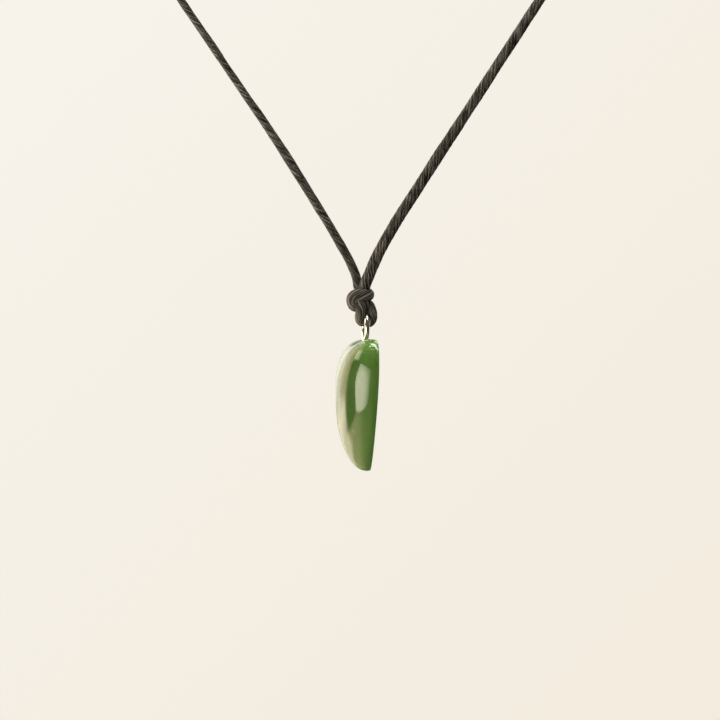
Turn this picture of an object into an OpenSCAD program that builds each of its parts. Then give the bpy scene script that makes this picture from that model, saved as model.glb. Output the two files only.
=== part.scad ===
// Heart pendant of polished green stone on a knotted neck cord.
// Millimetres, +Z up. The origin is the middle of the clasp at the nape, where the necklace hangs.
// The necklace opens in the XZ plane, and the heart is turned side-on to it, its back to +X.

/* [Heart] */
// Height of the stone from the top of its lobes to its tip
heart_h = 25; // [22:0.5:30]
// Width of the stone across both lobes
heart_w = 23.6; // [20:0.2:28]
// Greatest thickness, from the flat back to the top of the dome
heart_t = 6.85; // [5:0.05:8]
// How far the notch dips below the lobes
notch_depth = 2.8; // [2:0.2:4]
// Share of the outline, going up the dome, at which the notch has faded out
notch_fade = 0.88; // [0.76:0.02:0.88]
// Height of the rim, where the outline is widest, above the flat back
rim_h = 0.7; // [0.5:0.1:1.2]
// How far the worn edge of the back stands in from the rim
edge_inset = 0.18; // [0.1:0.02:0.5]

/* [Silver eye] */
// Outside diameter of the eye that the cord passes through
eye_d = 6; // [5.8:0.1:7]
// Diameter of the silver wire and of its peg
wire_d = 1; // [0.8:0.1:1]
// Length of the peg that is glued into the stone
peg_l = 4; // [3:0.5:6]
// Diameter of the hole drilled down from the notch
peg_hole_d = 1.1; // [1.05:0.05:1.3]

/* [Cord] */
// Diameter of the waxed cotton cord
cord_d = 1.8; // [1.5:0.1:1.9]
// Diameter of the same cord where the knot squeezes it
knot_cord_d = 1.6; // [1.4:0.1:1.6]

/* [Clasp] */
// Length of the barrel clasp
clasp_l = 12; // [10:1:14]
// Diameter of the barrel clasp
clasp_d = 4; // [3.5:0.5:5]

/* [Hanging] */
// Turn of the heart about the vertical, which shows a little of its front
heart_turn = 7; // [0:1:10]
// Lean of the heart's tip towards its front
heart_lean = 0.7; // [0:0.1:2]

/* [Hidden] */

// The cord's route, measured from the middle of the strand that lies in the eye
loop_bottom = [0, -18, -165];
route_left = [
    [-3, 18, 165], [-15, 18, 165], [-30, 17.5, 162.6], [-43.8, 16, 156.1], [-55, 13.5, 145.3],
    [-61.3, 10.5, 131.2], [-62, 7, 115.5], [-58.4, 4, 100.7], [-51.9, 1.8, 87], [-43.7, 0.5, 74],
    [-34.9, 0, 61], [-26, 0, 48], [-17.9, 0, 36], [-10.2, 0, 24], [-5.4, 0.1, 16]
];
route_knot = [
    [-2.45, 0.4, 10.6], [-1.5, 0.85, 8.7], [-0.4, 1, 7.3], [0.7, 0.65, 6.4], [1.15, -0.3, 5.8],
    [0.6, -1.3, 5.5], [-0.7, -1.5, 5.15], [-1.8, -1.15, 4.75], [-2.55, -0.3, 4.25], [-2.5, 0.6, 3.6],
    [-1.7, 1.2, 3.1], [-0.5, 1.2, 2.85], [0.65, 0.85, 2.6], [1.45, 0.35, 1.9], [1.5, 0.05, 1],
    [1.05, 0, 0.2], [0.1, 0, 0], [-0.85, 0, 0.2], [-1.3, -0.05, 1], [-1.25, -0.4, 1.9],
    [-0.6, -0.8, 2.75], [0.1, -0.65, 3.45], [0.3, -0.1, 4.1], [-0.2, 0.25, 4.8], [-1, 0.25, 5.5],
    [-1.35, -0.1, 6.3], [-1, -0.65, 7.2], [-0.3, -0.85, 8.2], [0.55, -0.65, 9.4], [1.65, -0.4, 10.8]
];
route_right = [
    [3.4, -0.15, 14.5], [5.4, 0, 18], [10.45, 0, 26], [17.65, 0, 37], [25.4, 0, 49], [33.2, 0, 61],
    [41.9, 0.5, 74], [50.6, 1.8, 87], [58, 4, 100.7], [62, 7, 115.5], [61.3, 10.5, 131.2],
    [55, 13.5, 145.3], [43.8, 16, 156.1], [30, 17.5, 162.6], [15, 18, 165], [3, 18, 165]
];
cord_sides = 8;
rings_per_span = 2;
// Rings over which the cord swells from its squeezed to its free diameter at the knot's ends
swell_rings = 6;

// The eye hangs on the strand with this gap, its middle a little to one side of the bend
eye_gap = 0.1;
eye_offset = 0.1;
eye_mean_r = (eye_d - wire_d) / 2;
eye_drop = eye_mean_r - wire_d / 2 - knot_cord_d / 2 - eye_gap;

// Places of the stone, seen from the middle of the eye
back_x = 1.3;
lobe_drop = 2.18;
notch_z = -lobe_drop - notch_depth;

// Shape of the outline: each curve ends in an upright or a level handle of this length
half_w = heart_w / 2;
lobe_y = 5.9;
widest_z = -5.4;
notch_handle = 1.4;
lobe_inner_handle = 3.4;
lobe_outer_handle = 3.9;
shoulder_handle = 3.8;
flank_handle = 6.6;
tip_handle = 2.7;
outline_steps = 12;

// Shape of the dome: full near the lobes and slimmer near the tip
dome_middle_z = -10.3;
fullness_lobes = 2.5;
fullness_tip = 2.13;
dome_rings = 12;
edge_rings = 3;
// Share of the outline left as a small flat at the top of the dome
crown = 0.08;
// Share of the notch's dip that still shows where it has faded out
notch_trace = 0.05;

// Room under the peg in its hole
peg_spare = 0.2;

clasp_round = 0.5;
// Distance of the cord's ends from the middle of the clasp
cord_end_x = 3;
socket_depth = clasp_l / 2 - cord_end_x;
socket_gap = 0.05;

// How far a drilled hole is cut past the surface that it opens in
past = 1;
$fn = 48;

function unit(v) = v / norm(v);

function bezier(a, b, c, d, t) =
    a * pow(1 - t, 3) + b * 3 * pow(1 - t, 2) * t + c * 3 * (1 - t) * pow(t, 2) + d * pow(t, 3);

// Direction of a route at point i: the mean of the spans beside it, the shorter one counting more
function heading(p, i) =
    i == 0 ? unit(p[1] - p[0])
    : i == len(p) - 1 ? unit(p[i] - p[i - 1])
    : unit((p[i] - p[i - 1]) / pow(norm(p[i] - p[i - 1]), 2)
        + (p[i + 1] - p[i]) / pow(norm(p[i + 1] - p[i]), 2));

// Point at share t of the span that starts at point i
function on_span(p, i, t) =
    let (reach = norm(p[i + 1] - p[i]) / 3)
    bezier(p[i], p[i] + heading(p, i) * reach, p[i + 1] - heading(p, i + 1) * reach, p[i + 1], t);

function smooth(p, steps) = concat(
    [for (i = [0:len(p) - 2]) for (k = [0:steps - 1]) on_span(p, i, k / steps)],
    [p[len(p) - 1]]
);

// Side direction at each ring, carried along the route so that the cord isn't twisted
function square_to(side, dir) = unit(side - dir * (side * dir));
function carried(p, i, side) =
    i == len(p) ? []
    : let (s = square_to(side, heading(p, i))) concat([s], carried(p, i + 1, s));

cord_line = smooth(concat(route_left, route_knot, route_right), rings_per_span);
cord_side = carried(cord_line, 0, [0, 1, 0]);
knot_start = len(route_left) * rings_per_span;
knot_end = (len(route_left) + len(route_knot) - 1) * rings_per_span;

function squeeze(i) =
    i <= knot_start || i >= knot_end ? 0
    : min(1, (i - knot_start) / swell_rings, (knot_end - i) / swell_rings);
function cord_r(i) = (cord_d + (knot_cord_d - cord_d) * squeeze(i)) / 2;

function cord_ring(i) =
    let (dir = heading(cord_line, i), side = cord_side[i], up = cross(dir, side))
    [for (k = [0:cord_sides - 1])
        let (a = k * 360 / cord_sides)
        cord_line[i] + cord_r(i) * (side * cos(a) + up * sin(a))];

// Closed solid through a row of rings that have the same number of points
module skin(rings) {
    n = len(rings[0]);
    last = (len(rings) - 1) * n;
    points = [for (ring = rings) for (p = ring) p];
    walls = [for (i = [0:len(rings) - 2]) for (k = [0:n - 1])
        let (a = i * n + k, b = i * n + (k + 1) % n)
        each [[a, a + n, b + n], [a, b + n, b]]];
    start_face = [for (k = [0:n - 1]) k];
    end_face = [for (k = [n - 1:-1:0]) last + k];
    polyhedron(points, concat([start_face], walls, [end_face]), convexity = 6);
}

module cord(first, last) {
    translate(loop_bottom) skin([for (i = [first:last]) cord_ring(i)]);
}

// One side of the outline from the notch to the tip: start, its handle, the end's handle, end
outline_curves = [
    [[0, -notch_depth], [notch_handle, -notch_depth], [lobe_y - lobe_inner_handle, 0], [lobe_y, 0]],
    [[lobe_y, 0], [lobe_y + lobe_outer_handle, 0], [half_w, widest_z + shoulder_handle], [half_w, widest_z]],
    [[half_w, widest_z], [half_w, widest_z - flank_handle], [tip_handle, -heart_h], [0, -heart_h]]
];
outline_side = [for (c = outline_curves) for (k = [0:outline_steps - 1])
    bezier(c[0], c[1], c[2], c[3], k / outline_steps)];
outline = concat(
    outline_side,
    [[0, -heart_h]],
    [for (k = [len(outline_side) - 1:-1:1]) [-outline_side[k][0], outline_side[k][1]]]
);
dome_middle = [0, dome_middle_z];

// Power of the dome's curve towards an outline point: 0 is towards the lobes, 1 towards the tip
function fullness(v) = fullness_lobes + (fullness_tip - fullness_lobes) * (1 - v[1] / norm(v)) / 2;
function dome_height(v, share) = rim_h + (heart_t - rim_h) * sqrt(1 - pow(share, fullness(v)));

// How far an outline point lies below the lobes in the notch, and the share of that which fills up on the dome
function dip(p) = abs(p[0]) < lobe_y && p[1] > widest_z ? -p[1] : 0;
function filled(share) = (1 - notch_trace) * min(1, (1 - share) / (1 - notch_fade));

// Ring of the stone: the outline drawn in to a share of its size, at a height above the back
function edge_ring(a) = [for (p = outline)
    let (v = p - dome_middle, q = dome_middle + v * (1 - edge_inset * (1 - sin(a)) / norm(v)))
    [-rim_h * (1 - cos(a)), q[0], q[1]]];
function dome_ring(share) = [for (p = outline)
    let (v = p - dome_middle, q = dome_middle + (v + [0, dip(p) * filled(share)]) * share)
    [share > crown ? -dome_height(v, share) : -heart_t, q[0], q[1]]];

module in_pendant() {
    translate(loop_bottom + [eye_offset, 0, -eye_drop])
        rotate([0, 0, heart_turn]) rotate([0, heart_lean, 0]) children();
}

module heart_stone() {
    color([0.30, 0.45, 0.20]) in_pendant() difference() {
        translate([back_x, 0, -lobe_drop]) skin(concat(
            [for (k = [0:edge_rings]) edge_ring(90 * k / edge_rings)],
            [for (k = [1:dome_rings]) dome_ring(1 - (1 - crown) * pow(k / dome_rings, 2))]
        ));
        translate([0, 0, notch_z - peg_l - peg_spare])
            cylinder(d = peg_hole_d, h = peg_l + peg_spare + past);
    }
}

module silver_eye() {
    color([0.80, 0.80, 0.80]) in_pendant() {
        rotate([0, 90, 0]) rotate_extrude() translate([eye_mean_r, 0]) circle(d = wire_d);
        translate([0, 0, notch_z - peg_l]) cylinder(d = wire_d, h = peg_l - notch_z - eye_mean_r);
    }
}

module cord_left() {
    color([0.17, 0.15, 0.14]) cord(0, knot_start);
}

module cord_knot() {
    color([0.17, 0.15, 0.14]) cord(knot_start, knot_end);
}

module cord_right() {
    color([0.17, 0.15, 0.14]) cord(knot_end, len(cord_line) - 1);
}

// Barrel with a socket for the cord in each end
module clasp() {
    color([0.75, 0.75, 0.76]) rotate([0, 90, 0]) difference() {
        rotate_extrude() polygon([
            [0, -clasp_l / 2], [clasp_d / 2 - clasp_round, -clasp_l / 2],
            [clasp_d / 2, -clasp_l / 2 + clasp_round], [clasp_d / 2, clasp_l / 2 - clasp_round],
            [clasp_d / 2 - clasp_round, clasp_l / 2], [0, clasp_l / 2]
        ]);
        for (end = [-1, 1])
            translate([0, 0, end * (clasp_l - socket_depth + past) / 2])
                cylinder(d = cord_d + 2 * socket_gap, h = socket_depth + past, center = true);
    }
}

heart_stone();
silver_eye();
cord_knot();
cord_left();
cord_right();
clasp();
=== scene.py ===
import math

import bpy
import numpy as np
from mathutils import Matrix, Vector


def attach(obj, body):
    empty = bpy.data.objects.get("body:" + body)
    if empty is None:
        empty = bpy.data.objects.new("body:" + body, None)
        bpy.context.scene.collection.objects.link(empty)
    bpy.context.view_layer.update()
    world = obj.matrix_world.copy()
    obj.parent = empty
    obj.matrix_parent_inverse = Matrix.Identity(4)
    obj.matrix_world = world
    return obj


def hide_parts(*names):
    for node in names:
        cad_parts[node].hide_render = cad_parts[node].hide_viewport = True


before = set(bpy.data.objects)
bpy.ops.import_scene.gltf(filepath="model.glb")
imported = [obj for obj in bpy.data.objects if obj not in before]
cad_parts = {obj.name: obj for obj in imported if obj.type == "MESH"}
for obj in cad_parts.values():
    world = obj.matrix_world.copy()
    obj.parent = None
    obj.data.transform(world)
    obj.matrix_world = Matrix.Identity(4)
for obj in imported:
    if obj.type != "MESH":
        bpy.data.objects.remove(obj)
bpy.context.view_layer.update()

MM = 0.001

# The cord's route in metres, from the middle of the strand that lies in the eye
LOOP_BOTTOM = np.array([0, -0.018, -0.165])
ROUTE_LEFT = [
    (-0.003, 0.018, 0.165), (-0.015, 0.018, 0.165), (-0.03, 0.0175, 0.1626), (-0.0438, 0.016, 0.1561),
    (-0.055, 0.0135, 0.1453), (-0.0613, 0.0105, 0.1312), (-0.062, 0.007, 0.1155), (-0.0584, 0.004, 0.1007),
    (-0.0519, 0.0018, 0.087), (-0.0437, 0.0005, 0.074), (-0.0349, 0, 0.061), (-0.026, 0, 0.048),
    (-0.0179, 0, 0.036), (-0.0102, 0, 0.024), (-0.0054, 0.0001, 0.016),
]
ROUTE_RIGHT = [
    (0.0034, -0.00015, 0.0145), (0.0054, 0, 0.018), (0.01045, 0, 0.026), (0.01765, 0, 0.037),
    (0.0254, 0, 0.049), (0.0332, 0, 0.061), (0.0419, 0.0005, 0.074), (0.0506, 0.0018, 0.087),
    (0.058, 0.004, 0.1007), (0.062, 0.007, 0.1155), (0.0613, 0.0105, 0.1312), (0.055, 0.0135, 0.1453),
    (0.0438, 0.016, 0.1561), (0.03, 0.0175, 0.1626), (0.015, 0.018, 0.165), (0.003, 0.018, 0.165),
]

# The same knot drawn tight, as the photo shows it, in millimetres: the strand's middle and its half-width
# x, y, z, half-width
TIGHT_KNOT = [
    (-2.45, 0.4, 10.6, 0.84), (-1.75, 0.6, 8.9, 0.87), (-1.42, 0.75, 7.6, 0.9), (-1.25, 0.9, 6.7, 0.95),
    (-0.5, 0.9, 5.95, 0.98), (0.25, 0.6, 5.45, 1.08), (0.66, -0.1, 5.15, 1.16), (0.35, -0.8, 5.05, 1.24),
    (-0.45, -1.15, 5.02, 1.32), (-1.42, -1.05, 4.92, 1.36), (-2.05, -0.5, 4.5, 1.36), (-2.17, 0.2, 3.8, 1.3),
    (-1.95, 0.7, 3.15, 1.2), (-1.3, 1.05, 2.9, 1.1), (-0.4, 1.0, 3.05, 1.12), (0.55, 0.45, 3.1, 1.18),
    (1.1, -0.05, 2.32, 1.08), (1.34, -0.4, 1.4, 1.02), (1.32, -0.2, 0.52, 0.98), (0.9, 0, -0.05, 0.95),
    (0.1, 0, -0.02, 0.88), (-0.62, -0.1, 0.06, 0.92), (-0.95, -0.6, 0.75, 0.95), (-0.72, -1.15, 1.6, 1.1),
    (-0.5, -1.1, 2.5, 1.25), (-0.48, -0.85, 3.3, 1.35), (-0.4, -0.25, 4.2, 1.25), (-0.45, 0.1, 5.0, 1.1),
    (-0.35, -0.1, 5.9, 1.1), (-0.03, -0.4, 6.8, 1.13), (0.35, -0.6, 7.8, 1.12), (0.97, -0.5, 9.2, 1.09),
    (1.65, -0.4, 10.8, 1.08),
]
CORD_D = 1.8 * MM

# How the heart hangs from the eye, as in the frame
EYE_MIDDLE = Vector((0.1 * MM, -18 * MM, -166.1 * MM))
HEART_TURN = math.radians(7)
HEART_LEAN = math.radians(0.7)
IN_PENDANT = (
    Matrix.Translation(EYE_MIDDLE)
    @ Matrix.Rotation(HEART_TURN, 4, "Z")
    @ Matrix.Rotation(HEART_LEAN, 4, "Y")
)

# Camera: the photo's frame is this wide in the plane of the cord, about this middle
FRAME_WIDTH = 136.4 * MM
VIEW_MIDDLE = Vector((-0.91 * MM, -18 * MM, -172.24 * MM))
LENS_MM = 300
SENSOR_MM = 36
NEAREST_SEEN, FARTHEST_SEEN = 0.05, 50


def look_at_heart():
    """The camera, level and square to the plane of the necklace, as far away as its long lens needs."""
    data = bpy.data.cameras.new("camera")
    data.lens = LENS_MM
    data.sensor_width = SENSOR_MM
    data.clip_start, data.clip_end = NEAREST_SEEN, FARTHEST_SEEN
    camera = bpy.data.objects.new("camera", data)
    camera.location = VIEW_MIDDLE - Vector((0, FRAME_WIDTH * LENS_MM / SENSOR_MM, 0))
    camera.rotation_euler = (math.pi / 2, 0, 0)
    bpy.context.scene.collection.objects.link(camera)
    bpy.context.scene.camera = camera


# Shader helpers

def node(tree, kind, inputs=None, **settings):
    """A shader node with its settings and its sockets, each given as a value or as a socket to link."""
    made = tree.nodes.new(kind)
    for name, value in settings.items():
        setattr(made, name, value)
    for name, value in (inputs or {}).items():
        if isinstance(value, bpy.types.NodeSocket):
            tree.links.new(value, made.inputs[name])
        else:
            made.inputs[name].default_value = value
    return made


def blank_material(name):
    """A material with nothing but a Principled shader and its output."""
    material = bpy.data.materials.new(name)
    material.use_nodes = True
    tree = material.node_tree
    return material, tree, tree.nodes["Principled BSDF"]


def uneven_group():
    """Soft patches for colour, gloss or height: Mask runs from Low to High over a noise."""
    group = bpy.data.node_groups.new("uneven", "ShaderNodeTree")
    group.interface.new_socket("Vector", in_out="INPUT", socket_type="NodeSocketVector")
    for name in ("Scale", "Detail", "Low", "High"):
        group.interface.new_socket(name, in_out="INPUT", socket_type="NodeSocketFloat")
    group.interface.new_socket("Mask", in_out="OUTPUT", socket_type="NodeSocketFloat")
    given = node(group, "NodeGroupInput").outputs
    noise = node(group, "ShaderNodeTexNoise", {
        "Vector": given["Vector"], "Scale": given["Scale"], "Detail": given["Detail"]})
    spread = node(group, "ShaderNodeMapRange", {
        "Value": noise.outputs["Fac"], "From Min": given["Low"], "From Max": given["High"]},
        interpolation_type="SMOOTHSTEP")
    node(group, "NodeGroupOutput", {"Mask": spread.outputs["Result"]})
    return group


def uneven(tree, vector, scale, low=0.3, high=0.7, detail=2.0):
    """Mask of the soft patches, placed in a material with its own values."""
    made = node(tree, "ShaderNodeGroup", node_tree=UNEVEN)
    tree.links.new(vector, made.inputs["Vector"])
    for name, value in (("Scale", scale), ("Detail", detail), ("Low", low), ("High", high)):
        made.inputs[name].default_value = value
    return made.outputs["Mask"]


def blend_colours(tree, share, first, second):
    """Colour that goes from the first to the second as the share goes from 0 to 1."""
    mix = node(tree, "ShaderNodeMix", data_type="RGBA")
    for socket, value in ((mix.inputs[0], share), (mix.inputs[6], first), (mix.inputs[7], second)):
        if isinstance(value, bpy.types.NodeSocket):
            tree.links.new(value, socket)
        else:
            socket.default_value = (*value, 1) if isinstance(value, tuple) and len(value) == 3 else value
    return mix.outputs[2]


def spread_over(tree, share, low, high):
    """Value that goes from low to high as the share goes from 0 to 1."""
    return node(tree, "ShaderNodeMapRange", {"Value": share, "To Min": low, "To Max": high}).outputs["Result"]


# Across the stone, from its dome to its back: where the painted fill light starts to turn it paler and where
# it is palest
PAINTED_FILL_FROM, PAINTED_FILL_FULL = -3 * MM, 1.4 * MM
LIGHT_CARRIED_IN_STONE = 4 * MM


def greenstone():
    """Polished nephrite: deep green with paler clouds and specks, and painted light that makes it paler
    towards its back.
    """
    material, tree, shader = blank_material("greenstone")
    place = node(tree, "ShaderNodeTexCoord").outputs["Object"]
    across = node(tree, "ShaderNodeSeparateXYZ", {0: place}).outputs["X"]
    # Painted light: the share of painted fill that makes the green paler towards the back, where less light
    # falls
    depth = node(tree, "ShaderNodeMapRange", {
        "Value": across, "From Min": PAINTED_FILL_FROM, "From Max": PAINTED_FILL_FULL},
        interpolation_type="SMOOTHSTEP").outputs["Result"]
    # Each pair runs from the deep green to its paler painted-fill colour
    green = blend_colours(tree, depth, (0.074, 0.152, 0.036), (0.150, 0.305, 0.072))
    cloudy = blend_colours(tree, depth, (0.090, 0.176, 0.043), (0.180, 0.345, 0.086))
    clouds = uneven(tree, place, scale=90, low=0.35, high=0.75, detail=4)
    green = blend_colours(tree, clouds, green, cloudy)
    specks = uneven(tree, place, scale=700, low=0.62, high=0.8, detail=3)
    tree.links.new(blend_colours(tree, specks, green, (0.15, 0.25, 0.09)), shader.inputs["Base Color"])
    polish = uneven(tree, place, scale=1500, low=0.4, high=0.8)
    tree.links.new(spread_over(tree, polish, 0.025, 0.045), shader.inputs["Roughness"])
    shader.inputs["IOR"].default_value = 1.61
    shader.inputs["Subsurface Weight"].default_value = 1
    shader.inputs["Subsurface Radius"].default_value = (0.8, 1.0, 0.5)
    shader.inputs["Subsurface Scale"].default_value = LIGHT_CARRIED_IN_STONE
    return material


FIBRE_HEIGHT = 0.14 * MM


def waxed_cord():
    """Twisted cotton under dark wax: grey-brown fibres along the yarns, lightened with painted highlight, and
    painted shade in the grooves between them.
    """
    material, tree, shader = blank_material("waxed_cord")
    fibre = node(tree, "ShaderNodeAttribute", attribute_name="fibre").outputs["Vector"]
    crest = node(tree, "ShaderNodeAttribute", attribute_name="crest").outputs["Fac"]
    strands = uneven(tree, fibre, scale=6, low=0.42, high=0.62, detail=3)
    worn = uneven(tree, fibre, scale=1.3, low=0.4, high=0.7, detail=2)
    # Painted shade: the colour darkens in the grooves between the yarns, where shade falls
    painted_groove_shade = spread_over(tree, crest, 0.2, 1)
    light = node(tree, "ShaderNodeMath", {0: strands, 1: painted_groove_shade}, operation="MULTIPLY").outputs["Value"]
    dark = blend_colours(tree, worn, (0.014, 0.0125, 0.012), (0.060, 0.055, 0.052))
    # The light fibre colour is partly the grey of the fibres and partly painted highlight for the glints on
    # their wax
    tree.links.new(blend_colours(tree, light, dark, (0.42, 0.385, 0.365)), shader.inputs["Base Color"])
    tree.links.new(spread_over(tree, strands, 0.6, 0.5), shader.inputs["Roughness"])
    bump = node(tree, "ShaderNodeBump", {"Height": strands, "Distance": FIBRE_HEIGHT})
    tree.links.new(bump.outputs["Normal"], shader.inputs["Normal"])
    shader.inputs["Diffuse Roughness"].default_value = 1
    shader.inputs["Specular IOR Level"].default_value = 0.25
    shader.inputs["IOR"].default_value = 1.45
    return material


def silver():
    """Polished silver with hairline marks from handling."""
    material, tree, shader = blank_material("silver")
    place = node(tree, "ShaderNodeTexCoord").outputs["Object"]
    marks = uneven(tree, place, scale=2200, low=0.45, high=0.75, detail=5)
    tarnish = uneven(tree, place, scale=500, low=0.3, high=0.8)
    colour = blend_colours(tree, tarnish, (0.70, 0.68, 0.65), (0.84, 0.82, 0.79))
    tree.links.new(colour, shader.inputs["Base Color"])
    tree.links.new(spread_over(tree, marks, 0.18, 0.30), shader.inputs["Roughness"])
    shader.inputs["Metallic"].default_value = 1
    return material


def clasp_metal():
    """Plated barrel, turned to a satin finish."""
    material, tree, shader = blank_material("clasp_metal")
    place = node(tree, "ShaderNodeTexCoord").outputs["Object"]
    drawn_round = node(tree, "ShaderNodeVectorMath", {0: place, 1: (1, 0.03, 0.03)}, operation="MULTIPLY")
    turning = uneven(tree, drawn_round.outputs["Vector"], scale=9000, low=0.3, high=0.7, detail=2)
    colour = blend_colours(tree, turning, (0.40, 0.39, 0.375), (0.52, 0.51, 0.49))
    tree.links.new(colour, shader.inputs["Base Color"])
    tree.links.new(spread_over(tree, turning, 0.34, 0.48), shader.inputs["Roughness"])
    shader.inputs["Metallic"].default_value = 1
    return material


UNEVEN = uneven_group()


# Meshes

def piece(name, points, faces, material, body):
    """A mesh in the row frame that rides on a body, smooth but for its flat ends."""
    mesh = bpy.data.meshes.new(name)
    mesh.from_pydata([tuple(p) for p in points], [], faces)
    mesh.polygons.foreach_set("use_smooth", [len(face) <= 4 for face in faces])
    mesh.materials.append(material)
    thing = bpy.data.objects.new(name, mesh)
    bpy.context.scene.collection.objects.link(thing)
    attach(thing, body)
    return thing


def skin(rows, around, cap_ends=True):
    """Faces of a tube through rows of points, each row with as many points around."""
    faces = [
        (i * around + k, i * around + (k + 1) % around,
         (i + 1) * around + (k + 1) % around, (i + 1) * around + k)
        for i in range(rows - 1) for k in range(around)
    ]
    if cap_ends:
        faces.append(tuple(range(around))[::-1])
        faces.append(tuple((rows - 1) * around + k for k in range(around)))
    return faces


def turned(profile, around):
    """Points of a form turned about the third axis, from rows of radius and height."""
    turn = np.arange(around) / around * 2 * math.pi
    return np.array([[(r * math.cos(a), r * math.sin(a), h) for a in turn] for r, h in profile])


def hung(points):
    """Points given from the middle of the eye, moved to where the pendant hangs in the frame."""
    moved = np.array(IN_PENDANT)
    return points @ moved[:3, :3].T + moved[:3, 3]


# Cord

RING_STEP = 0.22 * MM
KNOT_RING_STEP = 0.12 * MM
CORD_AROUND = 56
YARNS = 8
LAY = 10.3 * MM
YARN_RELIEF = 0.055 * MM
FIBRE_LENGTH = 14 * MM


def headings(points):
    """Direction at each point: the mean of the spans beside it, the shorter one counting more."""
    spans = np.diff(points, axis=0)
    pulls = spans / (spans ** 2).sum(1)[:, None]
    whole = np.vstack([spans[:1], pulls[:-1] + pulls[1:], spans[-1:]])
    return whole / np.linalg.norm(whole, axis=1)[:, None]


def smooth_route(points, steps):
    """The curve through the points, as the frame's cord follows it."""
    ways, t = headings(points), (np.arange(steps) / steps)[:, None]
    out = []
    for i in range(len(points) - 1):
        a, d = points[i], points[i + 1]
        reach = np.linalg.norm(d - a) / 3
        b, c = a + ways[i] * reach, d - ways[i + 1] * reach
        out.append(a * (1 - t) ** 3 + 3 * b * (1 - t) ** 2 * t + 3 * c * (1 - t) * t ** 2 + d * t ** 3)
    return np.vstack([*out, points[-1:]])


def walk(points):
    """Distance along a line of points."""
    return np.concatenate([[0], np.cumsum(np.linalg.norm(np.diff(points, axis=0), axis=1))])


def evenly(points, step):
    """The same line with points at equal distances, no farther apart than the step."""
    along = walk(points)
    at = np.linspace(0, along[-1], math.ceil(along[-1] / step) + 1)
    return np.stack([np.interp(at, along, points[:, k]) for k in range(3)], axis=1)


def carried_sides(points):
    """Direction, side and up at each point, carried along so that they don't twist."""
    ways = headings(points)
    side, sides = np.array([0.0, 1.0, 0.0]), []
    for way in ways:
        side = side - way * (side @ way)
        side /= np.linalg.norm(side)
        sides.append(side)
    return ways, np.array(sides), np.cross(ways, np.array(sides))


def wander(at, spacing, seed):
    """A smooth random curve between -1 and 1 that turns about once in each spacing."""
    marks = np.random.default_rng(seed).uniform(-1, 1, int(at.max() / spacing) + 3)
    i = (at / spacing).astype(int)
    t = at / spacing - i
    t = t * t * (3 - 2 * t)
    return marks[i] * (1 - t) + marks[i + 1] * t


EYE_MEAN_R = 2.5 * MM
WIRE_R = 0.5 * MM


def distance_to_eye_wire(points):
    """How far points are from the middle of the eye's wire."""
    to = points - np.array(EYE_MIDDLE)
    aside = to @ np.array(IN_PENDANT.col[0].xyz)
    out = np.sqrt(np.maximum((to ** 2).sum(-1) - aside ** 2, 0)) - EYE_MEAN_R
    return np.hypot(aside, out)


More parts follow.
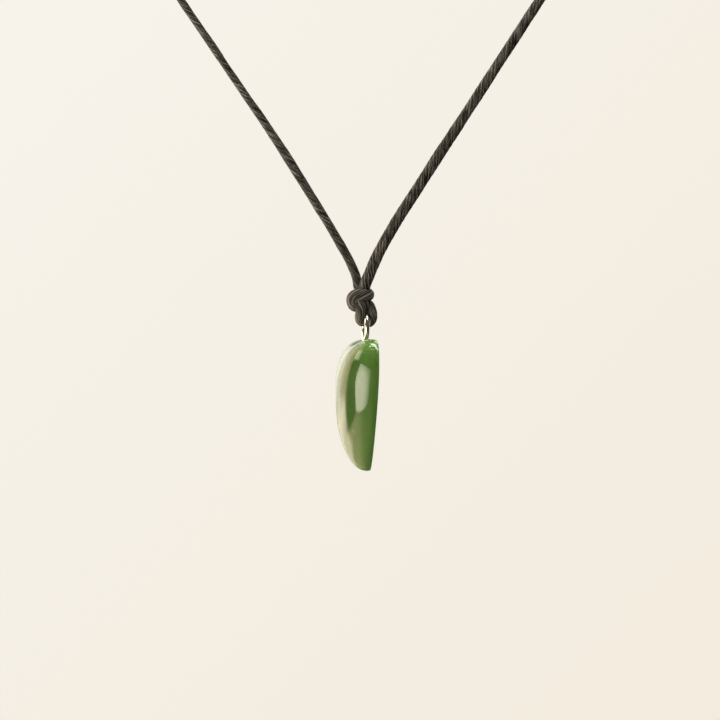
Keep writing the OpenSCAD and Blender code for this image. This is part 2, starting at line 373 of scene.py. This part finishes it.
class Cord:
    """The whole cord from socket to socket: its line, its section at each ring and its surface."""

    # Half-width in the plane of the necklace at distances from the knot, as the photo shows each side
    FROM_KNOT = np.array([0, 9, 16, 23, 30, 37, 60, 85]) * MM
    LEFT_HALF = np.array([0.86, 0.83, 0.835, 0.87, 0.79, 0.72, 0.70, 0.9]) * MM
    RIGHT_HALF = np.array([1.09, 1.09, 1.06, 1.05, 1.01, 0.98, 0.935, 0.9]) * MM
    LEFT_DEPTH, RIGHT_DEPTH = 0.95 * MM, 0.86 * MM
    # Over this distance a side takes on the widths of the knot
    SWELL = 3 * MM
    # How far the yarns, the width and the middle of the cord stray, and over which distance each turns about
    YARN_STRAYS, YARN_TURNS = 0.018 * MM, 4 * MM
    WIDTH_STRAYS, WIDTH_TURNS = 0.03 * MM, 2.7 * MM
    MIDDLE_STRAYS, SIDE_TURNS, UP_TURNS = 0.05 * MM, 5 * MM, 6 * MM
    WIDTH_SEED, SIDE_SEED, UP_SEED = 50, 60, 61
    # How full a yarn's crest is, the height on it that the widths above hold for, and its loss in the knot
    CREST_FULL, CREST_LEVEL, FLATTENED_IN_KNOT = 0.8, 0.8, 0.7
    # How near the knot a side can touch it, and how near two strands can touch each other
    NEAR_KNOT, NEAR_STRAND = 6 * MM, 3 * MM
    # Rings closer than the first along the cord are the same strand; then the gaps to a strand and to the wire
    SAME_STRAND, CONTACT_GAP, WIRE_GAP = 0.3 * MM, 0.01 * MM, 0.08 * MM
    # Steps between two points of the route, and out to the skin in search of the wire
    ROUTE_STEPS, WIRE_STEPS = 12, 33

    def __init__(self):
        knot = np.array(TIGHT_KNOT) * MM
        points = LOOP_BOTTOM + np.vstack([ROUTE_LEFT, knot[:, :3], ROUTE_RIGHT])
        steps = self.ROUTE_STEPS
        fine = smooth_route(points, steps)
        cuts = [0, len(ROUTE_LEFT) * steps, (len(ROUTE_LEFT) + len(knot) - 1) * steps, len(fine) - 1]
        marks = walk(fine)[cuts[1]:cuts[2] + 1:steps]
        spacing = (RING_STEP, KNOT_RING_STEP, RING_STEP)
        parts = [evenly(fine[a:b + 1], step) for a, b, step in zip(cuts, cuts[1:], spacing)]
        self.line = np.vstack([parts[0], parts[1][1:], parts[2][1:]])
        ends = np.cumsum([len(part) - 1 for part in parts])
        self.spans = [(0, ends[0]), (ends[0], ends[1]), (ends[1], ends[2])]
        self.at = walk(self.line)
        self.ways, self.sides, self.ups = carried_sides(self.line)
        self.knot_half = np.interp(self.at, marks * self.at[-1] / walk(fine)[-1], knot[:, 3])
        self.surface()

    def half_widths(self):
        """Half-widths in the plane of the necklace and in depth, at each ring."""
        start, end = (self.at[i] for i in self.spans[1])
        from_left, from_right = start - self.at, self.at - end
        left = self.at < (start + end) / 2
        flat = np.where(left, np.interp(from_left, self.FROM_KNOT, self.LEFT_HALF),
                        np.interp(from_right, self.FROM_KNOT, self.RIGHT_HALF))
        deep = np.where(left, self.LEFT_DEPTH, self.RIGHT_DEPTH)
        far = np.interp(np.maximum(from_left, from_right), self.FROM_KNOT[-2:], [0, 1])
        deep = deep + (CORD_D / 2 - deep) * far
        inside = np.clip(np.minimum(-from_left, -from_right) / self.SWELL, 0, 1)
        inside = inside * inside * (3 - 2 * inside)
        return [w + (self.knot_half - w) * inside for w in (flat, deep)], inside

    def surface(self):
        """The skin of the whole cord, with the crests of its yarns and the way that its fibres run."""
        turn = np.arange(CORD_AROUND) / CORD_AROUND * 2 * math.pi
        (flat, deep), self.inside = self.half_widths()
        depth_way = np.array([0, 1, 0]) - self.ways * self.ways[:, 1:2]
        lean = np.arctan2((depth_way * self.ups).sum(1), (depth_way * self.sides).sum(1))
        off = turn[None, :] - lean[:, None]
        radius = ((np.cos(off) / deep[:, None]) ** 2 + (np.sin(off) / flat[:, None]) ** 2) ** -0.5
        twist = turn[None, :] + 2 * math.pi * self.at[:, None] / LAY
        crest = np.abs(np.cos(YARNS * twist / 2))
        yarn = np.floor(YARNS * twist / (2 * math.pi) + 0.5).astype(int) % YARNS
        plump = np.stack([wander(self.at, self.YARN_TURNS, seed) for seed in range(YARNS)], axis=1)
        plump = np.take_along_axis(plump, yarn, axis=1)
        relief = YARN_RELIEF * (1 - self.FLATTENED_IN_KNOT * self.inside)[:, None]
        radius = radius + relief * (crest ** self.CREST_FULL - self.CREST_LEVEL) + self.YARN_STRAYS * plump
        loose = 1 - self.inside
        radius += (self.WIDTH_STRAYS * wander(self.at, self.WIDTH_TURNS, self.WIDTH_SEED) * loose)[:, None]
        outward = (np.cos(turn)[None, :, None] * self.sides[:, None, :]
                   + np.sin(turn)[None, :, None] * self.ups[:, None, :])
        radius = self.pressed(radius, outward)
        sway = self.MIDDLE_STRAYS * loose
        middle = self.line + self.sides * (sway * wander(self.at, self.SIDE_TURNS, self.SIDE_SEED))[:, None]
        middle = middle + self.ups * (sway * wander(self.at, self.UP_TURNS, self.UP_SEED))[:, None]
        self.skin_points = middle[:, None, :] + outward * radius[:, :, None]
        self.crest = crest
        self.fibre = np.stack([
            np.cos(twist) * 0.9, np.sin(twist) * 0.9,
            np.repeat(self.at[:, None] / FIBRE_LENGTH, CORD_AROUND, axis=1)], axis=-1)

    def pressed(self, radius, outward):
        """The radius where strands press each other flat, and where the eye's wire keeps them off."""
        start, end = self.spans[1]
        low = np.searchsorted(self.at, self.at[start] - self.NEAR_KNOT)
        high = np.searchsorted(self.at, self.at[end] + self.NEAR_KNOT)
        middles, at = self.line[low:high], self.at[low:high]
        for i in range(low, high):
            to = middles[np.abs(at - self.at[i]) > self.SAME_STRAND] - self.line[i]
            square = (to ** 2).sum(1)
            near = square < self.NEAR_STRAND ** 2
            to, square = to[near], square[near]
            pull = outward[i] @ to.T
            halfway = square / 2 - self.CONTACT_GAP * np.sqrt(square)
            limit = np.full_like(pull, np.inf)
            np.divide(halfway, pull, out=limit, where=pull > 0)
            radius[i] = np.minimum(radius[i], limit.min(axis=1, initial=np.inf))
        shares = np.linspace(0, 1, self.WIRE_STEPS)
        reached = outward[low:high, :, None] * (radius[low:high, :, None] * shares)[..., None]
        blocked = distance_to_eye_wire(self.line[low:high, None, None] + reached) < WIRE_R + self.WIRE_GAP
        last_free = np.maximum(blocked.argmax(axis=2) - 1, 0)
        last_free[~blocked.any(axis=2)] = self.WIRE_STEPS - 1
        radius[low:high] *= shares[last_free]
        return radius

    def side(self, name, span, material):
        """The piece between two rings, with the marks that the material reads."""
        first, last = self.spans[span]
        rows = slice(first, last + 1)
        points = self.skin_points[rows].reshape(-1, 3)
        faces = skin(last + 1 - first, CORD_AROUND)
        thing = piece(name, points, faces, material, "necklace")
        for mark, kind, values in (("fibre", "FLOAT_VECTOR", self.fibre), ("crest", "FLOAT", self.crest)):
            attribute = thing.data.attributes.new(mark, kind, "POINT")
            field = "vector" if kind == "FLOAT_VECTOR" else "value"
            attribute.data.foreach_set(field, values[rows].astype(np.float32).ravel())
        return thing, self.line[rows]


def neck_cord():
    """One cord in three pieces: its left side, the knot and its right side, with the routes of the sides."""
    cord, material = Cord(), waxed_cord()
    left, left_line = cord.side("neck_cord_left", 0, material)
    knot, _ = cord.side("overhand_knot", 1, material)
    right, right_line = cord.side("neck_cord_right", 2, material)
    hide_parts("cord_left")
    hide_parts("cord_knot")
    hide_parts("cord_right")
    return (left, left_line), knot, (right, right_line)


# Heart

class Heart:
    """The stone's shape, as the frame has it, in millimetres from the middle of the eye."""

    HEIGHT, WIDTH, THICK = 25, 23.6, 6.85
    NOTCH, NOTCH_FADE, NOTCH_TRACE = 2.8, 0.88, 0.05
    RIM, INSET = 0.7, 0.18
    BACK_X, LOBE_DROP = 1.3, 2.18
    LOBE_Y, WIDEST_Z = 5.9, -5.4
    NOTCH_HANDLE, LOBE_INNER, LOBE_OUTER = 1.4, 3.4, 3.9
    SHOULDER, FLANK, TIP = 3.8, 6.6, 2.7
    MIDDLE_Z = -10.3
    FULL_LOBES, FULL_TIP = 2.5, 2.13
    CURVE_STEPS, EDGE_RINGS, DOME_RINGS = 48, 8, 44

    def outline(self):
        """Closed outline from the notch, as rows of y and z."""
        half, low = self.WIDTH / 2, -self.HEIGHT
        lobe, widest = (self.LOBE_Y, 0), (half, self.WIDEST_Z)
        curves = (
            ((0, -self.NOTCH), (self.NOTCH_HANDLE, -self.NOTCH), (self.LOBE_Y - self.LOBE_INNER, 0), lobe),
            (lobe, (self.LOBE_Y + self.LOBE_OUTER, 0), (half, self.WIDEST_Z + self.SHOULDER), widest),
            (widest, (half, self.WIDEST_Z - self.FLANK), (self.TIP, low), (0, low)),
        )
        t = (np.arange(self.CURVE_STEPS) / self.CURVE_STEPS)[:, None]
        side = np.vstack([
            a * (1 - t) ** 3 + 3 * b * (1 - t) ** 2 * t + 3 * c * (1 - t) * t ** 2 + d * t ** 3
            for a, b, c, d in (map(np.array, curve) for curve in curves)])
        return np.vstack([side, [[0, low]], side[:0:-1] * [-1, 1]])

    def rings(self):
        """Rows of points from the back round the rounded edge and up the dome, where the notch fills in."""
        outline = self.outline()
        middle = np.array([0, self.MIDDLE_Z])
        reach = outline - middle
        length = np.linalg.norm(reach, axis=1)[:, None]
        full = self.FULL_LOBES + (self.FULL_TIP - self.FULL_LOBES) * (1 - reach[:, 1:] / length) / 2
        above = (np.abs(outline[:, :1]) < self.LOBE_Y) & (outline[:, 1:] > self.WIDEST_Z)
        dip = np.hstack([np.zeros_like(length), np.where(above, -outline[:, 1:], 0)])
        rings = []
        for k in range(self.EDGE_RINGS + 1):
            a = math.pi / 2 * k / self.EDGE_RINGS
            inset = self.INSET * (1 - math.sin(a))
            height = np.full((len(outline), 1), self.RIM * (1 - math.cos(a)))
            rings.append(np.hstack([-height, middle + reach * (1 - inset / length)]))
        for k in range(1, self.DOME_RINGS):
            share = 1 - (k / self.DOME_RINGS) ** 2
            height = self.RIM + (self.THICK - self.RIM) * np.sqrt(1 - share ** full)
            filled = (1 - self.NOTCH_TRACE) * min(1, (1 - share) / (1 - self.NOTCH_FADE))
            rings.append(np.hstack([-height, middle + (reach + dip * filled) * share]))
        return rings

    def build(self, material):
        """The stone as one closed piece, with a point in the middle of its dome and of its back."""
        rings = self.rings()
        around = len(rings[0])
        points = np.vstack([*rings, [[-self.THICK, 0, self.MIDDLE_Z], [0, 0, self.MIDDLE_Z]]])
        points = (points + [self.BACK_X, 0, -self.LOBE_DROP]) * MM
        faces = skin(len(rings), around, cap_ends=False)
        last, top, back = (len(rings) - 1) * around, len(points) - 2, len(points) - 1
        for k in range(around):
            faces.append((last + k, last + (k + 1) % around, top))
            faces.append((back, (k + 1) % around, k))
        heart = piece("heart", hung(points), faces, material, "pendant")
        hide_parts("heart_stone")


# Silver eye

PEG_BOTTOM, PEG_TOP, PEG_TOP_R = -8.98 * MM, -2.5 * MM, 0.675 * MM
SOLDER_R, SOLDER_DROP, SOLDER_FLARE = 0.75 * MM, 0.7 * MM, 2.5


def eye():
    """Bent wire, a hundredth or two uneven, closed with a little solder where it meets its peg."""
    rings, around = 144, 28
    bend = np.arange(rings) / rings * 2 * math.pi
    wire_r = WIRE_R * (1 + 0.015 * np.sin(3 * bend + 0.6) + 0.01 * np.sin(7 * bend))[:, None]
    side = np.arange(around) / around * 2 * math.pi
    out = EYE_MEAN_R + wire_r * np.cos(side)
    across, forward, up = wire_r * np.sin(side), out * np.sin(bend)[:, None], out * np.cos(bend)[:, None]
    ring = np.stack([across, forward, up], axis=-1)
    faces = skin(rings, around, cap_ends=False)
    last = (rings - 1) * around
    faces += [(last + k, last + (k + 1) % around, (k + 1) % around, k) for k in range(around)]
    foot = -EYE_MEAN_R - WIRE_R
    flare = [(WIRE_R + (SOLDER_R - WIRE_R) * t ** SOLDER_FLARE, foot - SOLDER_DROP * (1 - t))
             for t in np.linspace(0, 1, 9)]
    peg = turned([(WIRE_R, PEG_BOTTOM), *flare, (PEG_TOP_R, PEG_TOP)], around)
    start = rings * around
    faces += [tuple(start + k for k in face) for face in skin(len(peg), around)]
    points = np.vstack([ring.reshape(-1, 3), peg.reshape(-1, 3)])
    loop = piece("eye", hung(points), faces, silver(), "pendant")
    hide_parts("silver_eye")


# Barrel at the nape

BARREL_HALF, BARREL_R, BARREL_EDGE, BARREL_AROUND = 6 * MM, 2 * MM, 0.5 * MM, 64
SOCKET_R, SOCKET_END, SOCKET_EDGE, SOCKET_MOUTH = 0.95 * MM, 3 * MM, 0.1 * MM, 0.15 * MM
# Two grooves near each end and the seam: place along the barrel and depth
GROOVES = ((4.6 * MM, 0.12 * MM), (4.1 * MM, 0.12 * MM), (0, 0.18 * MM))


def barrel():
    """Turned barrel with soft edges, a seam where it opens and a socket for the cord in each end."""
    half = [(SOCKET_R * 0.9, SOCKET_END), (SOCKET_R, SOCKET_END + SOCKET_EDGE),
            (SOCKET_R, BARREL_HALF - SOCKET_MOUTH), (SOCKET_R + SOCKET_MOUTH, BARREL_HALF)]
    half += [(BARREL_R - BARREL_EDGE * (1 - math.sin(a)), BARREL_HALF - BARREL_EDGE * (1 - math.cos(a)))
             for a in np.linspace(0, math.pi / 2, 9)]
    for middle, depth in GROOVES:
        bottom = BARREL_R - depth
        dips = [(BARREL_R, depth * 1.5), (BARREL_R, depth * 1.2), (bottom, depth * 0.5), (bottom, 0)]
        half += [(r, middle + h) for r, h in dips]
        if middle:
            half += [(r, middle - h) for r, h in dips[2::-1]]
    profile = half + [(r, -h) for r, h in half[-2::-1]]
    points = turned(profile, BARREL_AROUND).reshape(-1, 3)[:, [2, 0, 1]]
    faces = skin(len(profile), BARREL_AROUND)
    clasp = piece("barrel", points, faces, clasp_metal(), "necklace")
    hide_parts("clasp")
    return clasp


# Room, soft boxes and floor

# The paper behind the object goes from light at the top left to deeper at the bottom right: painted light that
# falls off across it
PAPER_LIGHT, PAPER_DEEP, PAPER_SPREAD = (0.928, 0.892, 0.820), (0.893, 0.832, 0.735), 0.1
ROOM_DIM = (0.08, 0.075, 0.06)


def way_to(azimuth, elevation):
    """Direction from the heart: 0 is away from the camera, 90 to the left, 180 towards the camera."""
    a, e = math.radians(azimuth), math.radians(elevation)
    return Vector((-math.sin(a) * math.cos(e), math.cos(a) * math.cos(e), math.sin(e)))


# Soft boxes round the heart: colour of the light, azimuth and elevation where the box is brightest, the angle
# over which it dims, the share of the light that is left beyond that angle, and the corners in order
# A corner has its azimuth, its elevation and the softness of the edge that starts there
SOFT_BOXES = {
    "window": ((6.5, 5.8, 4.8), (119, -22), 40, 0.3, (
        (112, 12, 0.02), (167, -5, 0.05), (157, -46, 0.02),
        (97, -31.5, 0.02), (96, -16, 0.02), (101, -5, 0.02))),
    "backdrop": ((0.75, 0.73, 0.69), (0, 0), 70, 0.15, (
        (-60, 60, 0.15), (-60, -60, 0.15), (60, -60, 0.15), (60, 60, 0.15))),
    "left_sweep": ((1.9, 1.4, 0.9), (62, 16), 45, 0.08, (
        (6, -58, 0.10), (42, -50, 0.06), (88, 45, 0.08), (6, 46, 0.12))),
    "left_low": ((2.9, 2.4, 2.0), (54, -26), 36, 0.12, (
        (56, -9, 0.05), (30, -3, 0.10), (18, -38, 0.10), (50, -43, 0.12), (78, -35, 0.05))),
    "back_left": ((1.6, 1.3, 0.9), (15, 38), 60, 0.6, (
        (12, 26, 0.03), (21, 27, 0.06), (23, 50, 0.06), (8, 50, 0.03))),
    "back_right": ((2.2, 1.8, 1.2), (-14, 48), 40, 0.5, (
        (-6, 30, 0.03), (-6, 56, 0.03), (-28, 56, 0.06), (-28, 30, 0.06))),
    "table": ((2.1, 1.65, 1.0), (68, -44), 45, 0.15, (
        (60, -20, 0.015), (99, -33, 0.015), (157, -48, 0.04), (185, -50, 0.10),
        (-90, -80, 0.15), (10, -65, 0.15), (40, -42, 0.10))),
    "shoulder": ((3.6, 3.7, 2.7), (86, 22), 30, 0.05, (
        (98, 19.5, 0.015), (95, 40, 0.06), (70, 52, 0.10), (60, 36, 0.08), (75, 17, 0.03))),
    "dim_back": ((0.55, 0.5, 0.42), (22, -4), 30, 0.4, (
        (38, 10, 0.06), (6, 10, 0.06), (6, -20, 0.06), (38, -20, 0.06))),
    "top": ((9.5, 9.0, 8.3), (0, 77), 25, 0.5, (
        (22, 62, 0.04), (-16, 60, 0.04), (-90, 74, 0.04), (-130, 84, 0.03), (60, 86, 0.03))),
    "top_right": ((9.5, 9.2, 8.3), (-112, 64), 30, 0.5, (
        (-100, 52, 0.03), (-124, 52, 0.03), (-140, 80, 0.03), (-80, 80, 0.03))),
    "skylight": ((5.5, 6.0, 4.0), (80, 76), 20, 0.4, (
        (100, 72, 0.03), (55, 72, 0.03), (50, 82, 0.03), (120, 82, 0.03))),
    "arc": ((2.0, 2.2, 1.3), (160, 66), 40, 0.6, (
        (-150, 62, 0.03), (130, 62, 0.03), (125, 70, 0.03), (-150, 70, 0.03))),
}


def along(tree, way, direction):
    """How far the way looked in goes along a direction: 1 when it is the same."""
    dot = node(tree, "ShaderNodeVectorMath", {0: way, 1: direction}, operation="DOT_PRODUCT")
    return dot.outputs["Value"]


def soft_box(tree, way, colour, brightest, reach, left_over, corners):
    """Light of one box: its colour inside the corners, and less of it away from the brightest direction."""
    ways = [way_to(azimuth, elevation) for azimuth, elevation, _ in corners]
    middle = sum(ways, Vector())
    lit = node(tree, "ShaderNodeMapRange", {
        "Value": along(tree, way, way_to(*brightest)), "From Min": math.cos(math.radians(reach)),
        "From Max": 1, "To Min": left_over}, interpolation_type="SMOOTHSTEP").outputs["Result"]
    for first, second, (_, _, softness) in zip(ways, ways[1:] + ways[:1], corners):
        edge = first.cross(second).normalized()
        edge = edge if edge.dot(middle) > 0 else -edge
        off = along(tree, way, edge)
        side = node(tree, "ShaderNodeMapRange", {"Value": off, "From Min": -softness, "From Max": softness},
                    interpolation_type="SMOOTHSTEP").outputs["Result"]
        lit = node(tree, "ShaderNodeMath", {0: lit, 1: side}, operation="MULTIPLY").outputs["Value"]
    return node(tree, "ShaderNodeVectorMath", {0: colour, "Scale": lit}, operation="SCALE").outputs["Vector"]


def room():
    """A plain pale room: the camera sees its paper, and the object is lit by soft boxes."""
    world = bpy.data.worlds.new("room")
    world.use_nodes = True
    tree = world.node_tree
    tree.nodes.clear()
    way = node(tree, "ShaderNodeTexCoord").outputs["Generated"]
    glow = ROOM_DIM
    for box in SOFT_BOXES.values():
        glow = node(tree, "ShaderNodeVectorMath", {0: glow, 1: soft_box(tree, way, *box)}).outputs["Vector"]
    fall = node(tree, "ShaderNodeMapRange", {
        "Value": along(tree, way, (1, 0, -1)), "From Min": -PAPER_SPREAD, "From Max": PAPER_SPREAD})
    tone = blend_colours(tree, fall.outputs["Result"], PAPER_LIGHT, PAPER_DEEP)
    paper = node(tree, "ShaderNodeBackground", {"Color": tone})
    boxes = node(tree, "ShaderNodeBackground", {"Color": glow})
    path = node(tree, "ShaderNodeLightPath")
    mix = node(tree, "ShaderNodeMixShader", {0: path.outputs["Is Camera Ray"]})
    tree.links.new(boxes.outputs[0], mix.inputs[1])
    tree.links.new(paper.outputs[0], mix.inputs[2])
    node(tree, "ShaderNodeOutputWorld", {"Surface": mix.outputs[0]})
    bpy.context.scene.world = world


FLOOR_Z, FLOOR_R, FLOOR_FADES_FROM = -0.4, 1.6, 0.8


def floor():
    """Pale matt disc under the necklace, which fades out at its rim."""
    rings, around = 24, 96
    points = [(0, 0, FLOOR_Z)]
    for i in range(1, rings + 1):
        r = FLOOR_R * i / rings
        points += [(r * math.cos(a), r * math.sin(a), FLOOR_Z)
                   for a in np.arange(around) / around * 2 * math.pi]
    faces = [(0, 1 + k, 1 + (k + 1) % around) for k in range(around)]
    faces += [tuple(1 + k for k in face) for face in skin(rings, around, cap_ends=False)]
    mesh = bpy.data.meshes.new("floor")
    mesh.from_pydata(points, [], faces)
    material, tree, shader = blank_material("floor_paper")
    place = node(tree, "ShaderNodeTexCoord").outputs["Object"]
    level = node(tree, "ShaderNodeVectorMath", {0: place, 1: (1, 1, 0)}, operation="MULTIPLY").outputs[0]
    away = node(tree, "ShaderNodeVectorMath", {0: level}, operation="LENGTH").outputs["Value"]
    fade = node(tree, "ShaderNodeMapRange", {
        "Value": away, "From Min": FLOOR_FADES_FROM, "From Max": FLOOR_R, "To Min": 1, "To Max": 0},
        interpolation_type="SMOOTHSTEP").outputs["Result"]
    tone = blend_colours(tree, uneven(tree, place, scale=60), (0.69, 0.69, 0.735), (0.70, 0.70, 0.745))
    tree.links.new(tone, shader.inputs["Base Color"])
    tree.links.new(fade, shader.inputs["Alpha"])
    shader.inputs["Roughness"].default_value = 0.9
    mesh.materials.append(material)
    disc = bpy.data.objects.new("floor", mesh)
    disc.visible_glossy = disc.visible_diffuse = False
    bpy.context.scene.collection.objects.link(disc)


bpy.context.scene.view_settings.view_transform = "Standard"
look_at_heart()
(left_side, left_route), knot, (right_side, right_route) = neck_cord()
Heart().build(greenstone())
eye()
clasp = barrel()
room()
floor()
